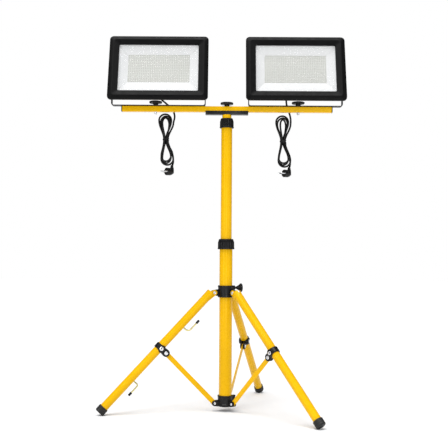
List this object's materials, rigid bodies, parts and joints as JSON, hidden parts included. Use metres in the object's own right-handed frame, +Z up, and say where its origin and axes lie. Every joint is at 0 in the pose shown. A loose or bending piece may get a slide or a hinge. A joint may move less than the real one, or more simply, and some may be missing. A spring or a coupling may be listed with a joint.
{
  "type": "work light",
  "caption": "Twin-head LED floodlight on a telescopic steel tripod: folding braced legs, sliding mast, crossbar, swivelling and tilting lamps, tied power cords.",
  "frame": {"origin": "on the ground, under the middle of the whole light", "axes": "+Z up the mast, +X along the crossbar towards the lamp on the right, -Y the way the lamps face"},
  "size_m": [0.853, 0.759, 1.3194],
  "materials": {
    "yellow_paint": "glossy yellow powder coat on steel tube",
    "black_plastic": "moulded black nylon, lightly textured",
    "black_rubber": "black rubber",
    "black_paint": "satin black paint on steel",
    "black_aluminium": "die-cast aluminium with black powder coat",
    "zinc_steel": "bright zinc-plated steel",
    "glass": "clear tempered glass",
    "white_reflector": "white satin reflector",
    "led_phosphor": "pale cream LED phosphor panel",
    "cord_rubber": "black rubber-sheathed power cord"
  },
  "bodies": {
    "mast": {"outer_tube": "yellow_paint", "bottom_plug": "black_plastic", "bottom_hub": "black_plastic"},
    "brace_back": {"brace_back": "yellow_paint"},
    "leg_back": {"leg_back": "yellow_paint", "leg_pin_back": "zinc_steel", "elbow_collar_back": "black_plastic", "foot_cap_back": "black_rubber"},
    "hub": {"top_hub": "black_plastic"},
    "hub_knob": {"hub_knob": "black_plastic"},
    "leg_left": {"leg_left": "yellow_paint", "leg_pin_left": "zinc_steel", "elbow_collar_left": "black_plastic", "foot_cap_left": "black_rubber", "upper_cord_hook": "zinc_steel", "lower_cord_hook": "zinc_steel"},
    "leg_right": {"leg_right": "yellow_paint", "leg_pin_right": "zinc_steel", "elbow_collar_right": "black_plastic", "foot_cap_right": "black_rubber"},
    "brace_left": {"brace_left": "yellow_paint"},
    "brace_right": {"brace_right": "yellow_paint"},
    "lower_collar": {"lower_collar": "black_plastic"},
    "mid_mast": {"mid_tube": "yellow_paint", "mid_tube_bush": "black_plastic"},
    "upper_collar": {"upper_collar": "black_plastic"},
    "top_mast": {"top_tube": "yellow_paint", "top_tube_bush": "black_plastic", "saddle": "black_paint", "crossbar": "yellow_paint", "end_cap_left": "black_plastic", "end_cap_right": "black_plastic"},
    "centre_knob": {"centre_knob": "black_plastic"},
    "left_yoke": {"left_yoke": "black_paint", "left_pivot_bolt_a": "zinc_steel", "left_pivot_bolt_b": "zinc_steel", "left_cord_lead": "cord_rubber", "left_cord_hank": "cord_rubber", "left_plug": "black_plastic"},
    "left_lamp": {"left_lamp_housing": "black_aluminium", "left_lamp_bezel": "black_aluminium", "left_lamp_glass": "glass", "left_reflector": "white_reflector", "left_led_board": "led_phosphor", "left_cord_gland": "black_plastic"},
    "left_knob": {"left_lamp_knob": "black_plastic"},
    "right_yoke": {"right_yoke": "black_paint", "right_pivot_bolt_a": "zinc_steel", "right_pivot_bolt_b": "zinc_steel", "right_cord_lead": "cord_rubber", "right_cord_hank": "cord_rubber", "right_plug": "black_plastic"},
    "right_lamp": {"right_lamp_housing": "black_aluminium", "right_lamp_bezel": "black_aluminium", "right_lamp_glass": "glass", "right_reflector": "white_reflector", "right_led_board": "led_phosphor", "right_cord_gland": "black_plastic"},
    "right_knob": {"right_lamp_knob": "black_plastic"}
  },
  "joints": [
    {"name": "tripod_fold", "type": "hinge", "parent": "mast", "child": "brace_back", "pos_m": [0.02244, -0.01205, 0.0283], "axis": [-0.9511, 0.309, 0], "range_deg": [-35.4, 0]},
    {"name": "elbow_back", "type": "hinge", "parent": "brace_back", "child": "leg_back", "pos_m": [0.07579, 0.15215, 0.20582], "axis": [-0.9511, 0.309, 0], "range_deg": [-0.5, 67.69]},
    {"name": "hub_pivot_back", "type": "hinge", "parent": "leg_back", "child": "hub", "pos_m": [0.02349, -0.00881, 0.412], "axis": [-0.9511, 0.309, 0], "range_deg": [-32.29, 0.5]},
    {"name": "leg_pivot_left", "type": "hinge", "parent": "hub", "child": "leg_left", "pos_m": [-0.03029, -0.0587, 0.412], "axis": [0.2368, -0.9715, 0], "range_deg": [-0.5, 32.29]},
    {"name": "brace_pivot_left", "type": "hinge", "parent": "mast", "child": "brace_left", "pos_m": [-0.02699, -0.0579, 0.0283], "axis": [0.2368, -0.9715, 0], "range_deg": [-35.9, 0.5]},
    {"name": "leg_pivot_right", "type": "hinge", "parent": "hub", "child": "leg_right", "pos_m": [0.03953, -0.07912, 0.412], "axis": [0.723, 0.6909, 0], "range_deg": [-0.5, 32.29]},
    {"name": "brace_pivot_right", "type": "hinge", "parent": "mast", "child": "brace_right", "pos_m": [0.03718, -0.07666, 0.0283], "axis": [0.723, 0.6909, 0], "range_deg": [-35.9, 0.5]},
    {"name": "hub_knob_turn", "type": "hinge", "parent": "hub", "child": "hub_knob", "pos_m": [0.05398, -0.03711, 0.429], "axis": [0.9659, 0.2588, 0], "range_deg": [0, 360]},
    {"name": "lower_collar_turn", "type": "hinge", "parent": "mast", "child": "lower_collar", "pos_m": [0.01051, -0.04876, 0.58], "axis": [0, 0, 1], "range_deg": [0, 90]},
    {"name": "mid_mast_slide", "type": "slide", "parent": "mast", "child": "mid_mast", "axis": [0, 0, 1], "range_m": [-0.38, 0.06]},
    {"name": "upper_collar_turn", "type": "hinge", "parent": "mid_mast", "child": "upper_collar", "pos_m": [0.01051, -0.04876, 1.006], "axis": [0, 0, 1], "range_deg": [0, 90]},
    {"name": "top_mast_slide", "type": "slide", "parent": "mid_mast", "child": "top_mast", "axis": [0, 0, 1], "range_m": [0, 0.4]},
    {"name": "centre_knob_turn", "type": "hinge", "parent": "top_mast", "child": "centre_knob", "pos_m": [0.01051, -0.04876, 1.075], "axis": [0, 0, 1], "range_deg": [0, 360]},
    {"name": "left_yoke_swivel", "type": "hinge", "parent": "top_mast", "child": "left_yoke", "pos_m": [-0.24049, -0.04876, 1.066], "axis": [0, 0, 1], "range_deg": [-15, 60]},
    {"name": "left_lamp_tilt", "type": "hinge", "parent": "left_yoke", "child": "left_lamp", "pos_m": [-0.23049, -0.04876, 1.1925], "axis": [1, 0, 0], "range_deg": [-71.5, 13], "deforming": ["left_cord_lead"]},
    {"name": "left_knob_turn", "type": "hinge", "parent": "left_yoke", "child": "left_knob", "pos_m": [-0.24049, -0.04876, 1.075], "axis": [0, 0, 1], "range_deg": [0, 360]},
    {"name": "right_yoke_swivel", "type": "hinge", "parent": "top_mast", "child": "right_yoke", "pos_m": [0.26151, -0.04876, 1.066], "axis": [0, 0, 1], "range_deg": [-60, 15]},
    {"name": "right_lamp_tilt", "type": "hinge", "parent": "right_yoke", "child": "right_lamp", "pos_m": [0.25151, -0.04876, 1.1925], "axis": [1, 0, 0], "range_deg": [-71.5, 13], "deforming": ["right_cord_lead"]},
    {"name": "right_knob_turn", "type": "hinge", "parent": "right_yoke", "child": "right_knob", "pos_m": [0.26151, -0.04876, 1.075], "axis": [0, 0, 1], "range_deg": [0, 360]}
  ],
  "couplings": [
    {"joint": "elbow_back", "follows": "tripod_fold", "ratio": -1.898},
    {"joint": "hub_pivot_back", "follows": "tripod_fold", "ratio": 0.898},
    {"joint": "leg_pivot_left", "follows": "tripod_fold", "ratio": -0.898},
    {"joint": "brace_pivot_left", "follows": "tripod_fold", "ratio": 1},
    {"joint": "leg_pivot_right", "follows": "tripod_fold", "ratio": -0.898},
    {"joint": "brace_pivot_right", "follows": "tripod_fold", "ratio": 1}
  ]
}
